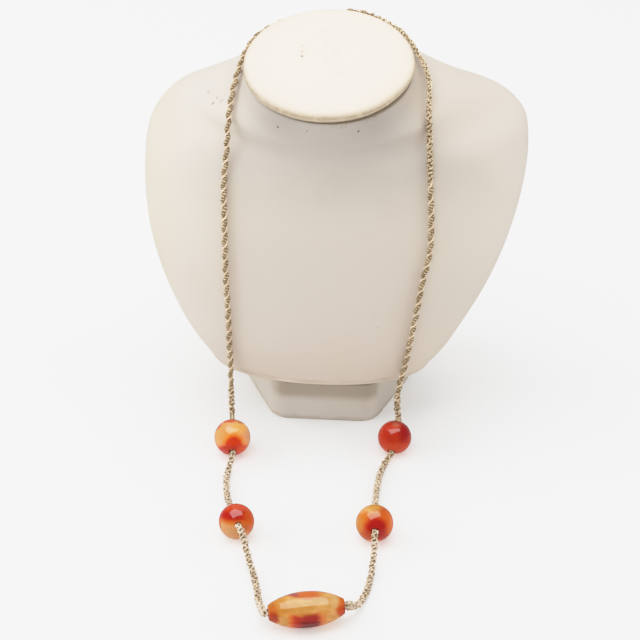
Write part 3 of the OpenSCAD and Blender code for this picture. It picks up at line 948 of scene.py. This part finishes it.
def dress_cord(plan, bright, grain, inner, thread):
    """A ply of hitches with a bright strand laid round it, braided near the beads and the table."""
    path, along, full, bare, braided = plan
    run, side, out = carried_frame(path)
    wander = (np.sin(along * 0.11) + np.sin(along * 0.047 + 1.3) + np.sin(along * 0.23 + 0.4)) / 3
    turn = np.cumsum(2 * math.pi * CORD_SPACING / (CORD_PITCH * (1 + 0.08 * wander)))
    hitch = -np.cumsum(2 * math.pi * CORD_SPACING / (HITCH_PITCH * (1 + 0.12 * wander)))
    weave = np.cumsum(2 * math.pi * CORD_SPACING / (BRAID_PITCH * (1 + 0.06 * wander)))
    covered = bare < 0.5

    def across(angle, reach):
        return (reach * full)[:, None] * (np.cos(angle)[:, None] * side + np.sin(angle)[:, None] * out)

    spiral = 1 - braided
    ply = path - across(turn, 0.6 * spiral)
    shown = covered & (braided < 0.96)
    # The core is a real core, coloured dark as painted shade in the gaps between the hitches
    strand_piece("cord_core", [(ply, full * (0.86 + 0.2 * spiral))], covered, 4, 10, inner)
    coil = ply + across(hitch, 0.1 + 0.78 * spiral)
    lump = 1 + 0.1 * np.sin(3.1 * hitch / 2) + 0.06 * np.sin(along * 1.9)
    strand_piece("cord_hitches", [(coil, full * HITCH_R * lump)], shown, 1, 7, grain)
    strand = path + across(turn, 0.2 + 0.85 * spiral)
    strand_piece("cord_bright_strand", [(strand, full * BRIGHT_R)], shown, 3, 9, bright)
    over = 0.35 * np.cos(2 * weave)
    lines = []
    for number, (sense, half_turn) in enumerate(((1, 0), (-1, 0), (1, math.pi), (-1, math.pi))):
        knobs = 1 + 0.16 * np.sin(along * 2.3 + 1.7 * number) + 0.1 * np.sin(along * 5.1 + 2.9 * number)
        reach = (1.18 + sense * over) * (0.3 + 0.7 * braided)
        line = path + across(sense * weave + half_turn + 0.3 * turn, reach * (0.9 + 0.1 * knobs))
        lines.append((line, full * BRAIDED_R * knobs))
    strand_piece("cord_braid", lines, covered & (braided > 0.04), 2, 7, grain)
    level = RIGHT - run * (run @ RIGHT)[:, None]
    upright = UP - run * (run @ UP)[:, None]
    level = unit(np.where((np.abs(run @ RIGHT) > 0.8)[:, None], upright, level))
    threads = [(path + 0.76 * way * level, np.full(len(path), THREAD_R)) for way in (1, -1)]
    strand_piece("cord_threads", threads, bare > 0.1, 4, 9, thread)


def knot_line(middle, axis, length, radius, turns, lean):
    """The line of a strand wound round the cord, as in a small overhand knot."""
    axis = unit(axis)
    side = unit(np.cross(axis, [0.2, 0.1, 1.0]))
    out = np.cross(axis, side)
    t = np.linspace(0, 1, int(46 * turns))
    a = 2 * math.pi * turns * t
    swell = radius * (0.72 + 0.28 * np.sin(math.pi * t))
    forth = (t - 0.5) * length + lean * np.cos(a)
    return (middle + np.outer(forth, axis) + (swell * np.cos(a))[:, None] * side
            + (swell * np.sin(a))[:, None] * out)


def dress_knots(path, material):
    """The small stopper knots beside the barrel bead and behind the right upper bead."""
    places = ((BARREL_MIDDLE - hole_axis(PLACE_BARREL) * (BARREL_L / 2 + 3.4), 4.4, 1.75, 0.95, 2.2),
              (BARREL_MIDDLE + hole_axis(PLACE_BARREL) * (BARREL_L / 2 + 3.0), 3.2, 1.45, 0.8, 1.7),
              (bead_middle(PLACE_UR) - hole_axis(PLACE_UR) * (PLACE_UR.wide / 2 + 1.9), 1.8, 1.0, 0.5, 1.5))
    tubes = []
    for wanted, length, radius, thick, turns in places:
        i = int(np.argmin(np.linalg.norm(path - wanted, axis=1)))
        line = knot_line(path[i], path[i + 4] - path[i - 4], length, radius, turns, 0.35)
        line[:, 2] = np.maximum(line[:, 2], thick + 0.12)
        thin = thick * (0.75 + 0.25 * np.sin(np.linspace(0, math.pi, len(line))))
        tubes.append(strand_mesh(line, thin, 10))
    tube_piece("cord_knots", tubes, material)


def panel_light(name, place, size, power):
    data = bpy.data.lights.new(name, "AREA")
    data.shape = "RECTANGLE"
    data.size = size[0]
    data.size_y = size[1]
    data.energy = power
    light = placed(name, data)
    light.location = place
    return light


def soften_highlights():
    """A film-like shoulder, so that the pale table and pad keep their tones."""
    settings = bpy.context.scene.view_settings
    settings.view_transform = "Standard"
    settings.use_curve_mapping = True
    mapping = settings.curve_mapping
    mapping.white_level = (SHOULDER_WHITE,) * 3
    curve = mapping.curves[3]
    curve.points[0].location = (0.0, 0.0)
    curve.points[1].location = (1.0, shoulder(SHOULDER_WHITE))
    for level in (0.25, 0.5, 0.6, 0.7, 0.8, 0.95, 1.1, 1.3, 1.6, 2.0, 2.5):
        curve.points.new(level / SHOULDER_WHITE, shoulder(level))
    mapping.update()


def shoulder(level):
    if level < SHOULDER_FROM:
        return level
    return SHOULDER_FROM + SHOULDER_REACH * (1 - math.exp((SHOULDER_FROM - level) / SHOULDER_REACH))


def make_stage():
    """A plain pale table, a large soft light overhead and pale light all round."""
    material, shader, place = start_material("table")
    mirrored = material.node_tree.nodes.new("ShaderNodeLightPath").outputs["Is Glossy Ray"]
    # Painted light: the table gives off a warm glow in the shadow of each bead, standing in for light that
    # has come through the agate
    glow = 0.0
    for bead in (PLACE_UL, PLACE_UR, PLACE_LL, PLACE_LR, PLACE_BARREL):
        radius = bead.wide / 2
        wide = 23.0 if bead is PLACE_BARREL else 1.35 * radius
        turn = 90 + bead.heading if bead is PLACE_BARREL else 0.0
        patch = zone_mask(place, (bead.x * MM, (bead.y - 0.45 * radius) * MM, 0),
                          (wide * MM, 1.1 * radius * MM, MM), 0.5, turn)
        glow = arithmetic("ADD", patch, glow)
    fill(shader, {"Base Color": mixed(mirrored, (0.93, 0.93, 0.925, 1.0), (0.27, 0.27, 0.27, 1.0)),
                  "Roughness": 0.55, "Emission Strength": product(glow, 0.2),
                  "Emission Color": (1.0, 0.62, 0.5, 1.0)})
    data = bpy.data.meshes.new("table")
    data.from_pydata([(-6, -6, 0), (6, -6, 0), (6, 6, 0), (-6, 6, 0)], [], [(0, 1, 2, 3)])
    data.materials.append(material)
    placed("table", data)
    overhead = panel_light("softbox", (-0.12, 0.14, 1.0), (1.3, 1.08), 14.0)
    overhead.rotation_euler = (0, 0, math.radians(30))
    for name, place, size, power in (("panel_left", (-1.3, -0.05, 0.55), (1.4, 1.0), 20.2),
                                     ("panel_right", (1.3, -0.05, 0.55), (1.4, 1.0), 12.0),
                                     ("panel_back", (0.0, 1.3, 0.6), (1.6, 1.0), 4.8),
                                     ("panel_front", (0.0, -1.55, 1.0), (2.2, 1.4), 15.0)):
        panel = panel_light(name, place, size, power)
        away = Vector(place) - Vector((0, 0, 0.1))
        panel.rotation_euler = away.to_track_quat("Z", "Y").to_euler()
        panel.visible_glossy = False
    world = bpy.data.worlds.new("room")
    bpy.context.scene.world = world
    world.use_nodes = True
    fill(world.node_tree.nodes["Background"], {"Color": (0.96, 0.98, 1.0, 1.0), "Strength": 0.24})


make_camera()
make_stage()
soften_highlights()

cover = leatherette("bust_leatherette", (196, 183, 170), 0.5, 0.35, (0.037, 0.033), BUST_MARKS, bust_tones)
# The foot's leatherette is the bust's, painted a little darker and greyer as shade
foot_cover = leatherette("foot_leatherette_painted_shade", (187, 180, 171), 0.5, 0.35, (0.004, 0.001), (), foot_tones)
pad_cover = leatherette("pad_leatherette", (233, 209, 190), 0.46, 0.2, (0.1, 0.09), PAD_MARKS, pad_tones)
dress_bust(cover)
dress_bust_seam(cover)
dress_foot(foot_cover)
dress_pad(pad_cover)

bright_fibre = cord_fibre("cord_bright_fibre", (230, 214, 188), (204, 184, 156))
grain_fibre = cord_fibre("cord_knotted_fibre", (218, 202, 174), (174, 156, 126), (124, 106, 76))
# The core's dark colour is painted shade, seen in the gaps between the strands
core_gap_shade_fibre = cord_fibre("cord_inner_fibre", (134, 116, 86), (102, 86, 60))
thread_fibre = cord_fibre("cord_thread_fibre", (166, 148, 102), (122, 104, 68))
laid_out = cord_plan()
dress_cord(laid_out, bright_fibre, grain_fibre, core_gap_shade_fibre, thread_fibre)
dress_knots(laid_out[0], grain_fibre)

round_bead("upper_left", PLACE_UL, 3.0, ((234, 176, 112), (232, 168, 126)), [
    (-0.62, 0.3, 0.46, 0.5, 0.5, (222, 156, 92), 0.9),
    (0.45, 0.6, 0.42, 0.34, 0.5, (238, 182, 96), 0.9),
    # Painted reflection: a pale pinkish rim at the right edge
    (0.97, 0.1, 0.2, 0.6, 0.5, (222, 160, 118), 0.8),
    (0.1, -0.36, 0.62, 0.68, 0.28, (237, 148, 58), 1),
    (0.04, -1.05, 1.4, 0.8, 0.24, (232, 136, 84), 1),
    (0.1, -0.4, 0.45, 0.52, 0.26, (216, 70, 0), 1),
    (0.04, -1.05, 1.3, 0.64, 0.2, (200, 62, 28), 1),
    (-0.5, -0.75, 0.36, 0.26, 0.5, (204, 66, 52), 0.8),
    (0.55, -0.68, 0.3, 0.2, 0.5, (226, 96, 52), 0.8),
    (-0.76, 0.68, 0.34, 0.13, 0.35, (200, 92, 70), 0.9, 49),
    (-0.16, 0.95, 0.5, 0.12, 0.4, (216, 98, 58), 1.0, 8),
    (0.42, 0.88, 0.28, 0.09, 0.4, (196, 120, 70), 0.9, -26),
])
round_bead("upper_right", PLACE_UR, 11.0, ((190, 60, 12), (184, 58, 16)), [
    (-0.3, 0.75, 0.6, 0.32, 0.4, (204, 62, 36), 0.8),
    # Painted reflection of the table: a lighter lower part
    (0.0, -0.8, 1.2, 0.46, 0.45, (212, 84, 48), 0.7),
    (0.6, 0.34, 0.34, 0.6, 0.6, (160, 14, 0), 1.0, -8),
    (0.05, 0.92, 0.28, 0.16, 0.5, (146, 36, 24), 0.7),
    (0.04, 0.78, 0.16, 0.12, 0.6, (200, 112, 84), 0.7),
    # Painted reflection: pale rims at the right and left edges
    (1.02, 0, 0.1, 0.7, 0.4, (196, 100, 84), 0.5),
    (-1.0, -0.1, 0.1, 0.6, 0.5, (200, 96, 74), 0.6),
])
round_bead("lower_left", PLACE_LL, 19.0, ((218, 152, 100), (213, 158, 104)), [
    (0.72, -0.18, 0.36, 0.36, 0.45, (202, 94, 10), 0.85),
    (0.9, -0.45, 0.2, 0.3, 0.5, (220, 124, 78), 0.7),
    (0.0, 0.68, 1.7, 0.8, 0.16, (214, 112, 48), 1.0, -3),
    (0.0, 0.8, 1.7, 0.72, 0.18, (188, 56, 4), 1.0, -3),
    (-0.35, 0.36, 0.56, 0.22, 0.6, (176, 36, 0), 0.8),
    (0.8, 0.3, 0.3, 0.5, 0.5, (206, 92, 18), 0.8),
    (0.05, 1.0, 1.0, 0.36, 0.4, (208, 78, 48), 0.9),
    # Painted reflection: a pale rim at the left edge
    (-0.95, -0.2, 0.12, 0.36, 0.5, (214, 84, 56), 0.7),
])
round_bead("lower_right", PLACE_LR, 27.0, ((208, 130, 60), (214, 140, 72)), [
    (-0.5, 0.72, 0.4, 0.26, 0.5, (226, 166, 100), 0.9),
    (0.1, 0.97, 0.5, 0.2, 0.5, (208, 146, 62), 0.9),
    (0.6, 0.66, 0.38, 0.34, 0.5, (206, 94, 24), 0.9),
    (0.75, 0.1, 0.36, 0.48, 0.5, (218, 112, 36), 0.9),
    # Painted reflection: a pale rim at the right edge
    (0.98, -0.1, 0.14, 0.5, 0.5, (228, 120, 74), 0.8),
    (-0.45, 0.42, 0.34, 0.22, 0.5, (218, 116, 44), 0.8),
    (0.08, -0.18, 0.68, 0.72, 0.35, (214, 90, 30), 1),
    (0.06, -0.16, 0.52, 0.54, 0.35, (180, 34, 0), 1),
    (0.1, -0.5, 0.5, 0.5, 0.4, (178, 40, 4), 1),
    (0.42, -0.66, 0.3, 0.22, 0.5, (180, 56, 36), 0.8),
    (-0.45, -0.64, 0.36, 0.26, 0.5, (194, 84, 44), 0.9),
    # Painted reflection of the table along the bottom edge
    (0.05, -0.98, 0.6, 0.15, 0.4, (224, 130, 84), 0.9),
])
barrel_bead("barrel", PLACE_BARREL, 35.0, ((208, 148, 76), (224, 170, 102)), [
    (-0.1, 0.92, 0.48, 0.3, 0.35, (208, 104, 40), 1),
    (-0.33, 0.8, 0.12, 0.1, 0.45, (165, 86, 80), 1),
    (-0.68, 0.3, 0.2, 0.5, 0.6, (200, 128, 52), 0.7),
    (0.73, 0.45, 0.1, 0.4, 0.6, (230, 204, 158), 0.3),
    (1.0, 0.2, 0.17, 0.8, 0.45, (204, 98, 32), 0.9),
    (0.93, -0.15, 0.15, 0.35, 0.5, (200, 76, 26), 0.9),
    (1.03, 0.05, 0.07, 0.7, 0.5, (150, 56, 20), 0.8),
    (-0.93, -0.1, 0.17, 0.5, 0.5, (196, 96, 44), 0.9),
    (-0.9, -0.4, 0.15, 0.3, 0.5, (172, 64, 36), 0.9),
    (-1.0, 0.35, 0.1, 0.3, 0.5, (184, 116, 52), 0.8),
], [
    (0.34, -0.55, 0.12, 0.46, 0.5, (222, 128, 62), 0.8),
    (-0.38, -0.62, 0.12, 0.42, 0.5, (230, 116, 44), 0.8),
    (-0.06, -0.66, 0.34, 0.46, 0.34, (192, 58, 0), 1),
    (0.06, -0.5, 0.18, 0.36, 0.5, (166, 40, 0), 0.9),
    (0.04, -0.82, 0.24, 0.26, 0.5, (122, 30, 10), 0.95),
])
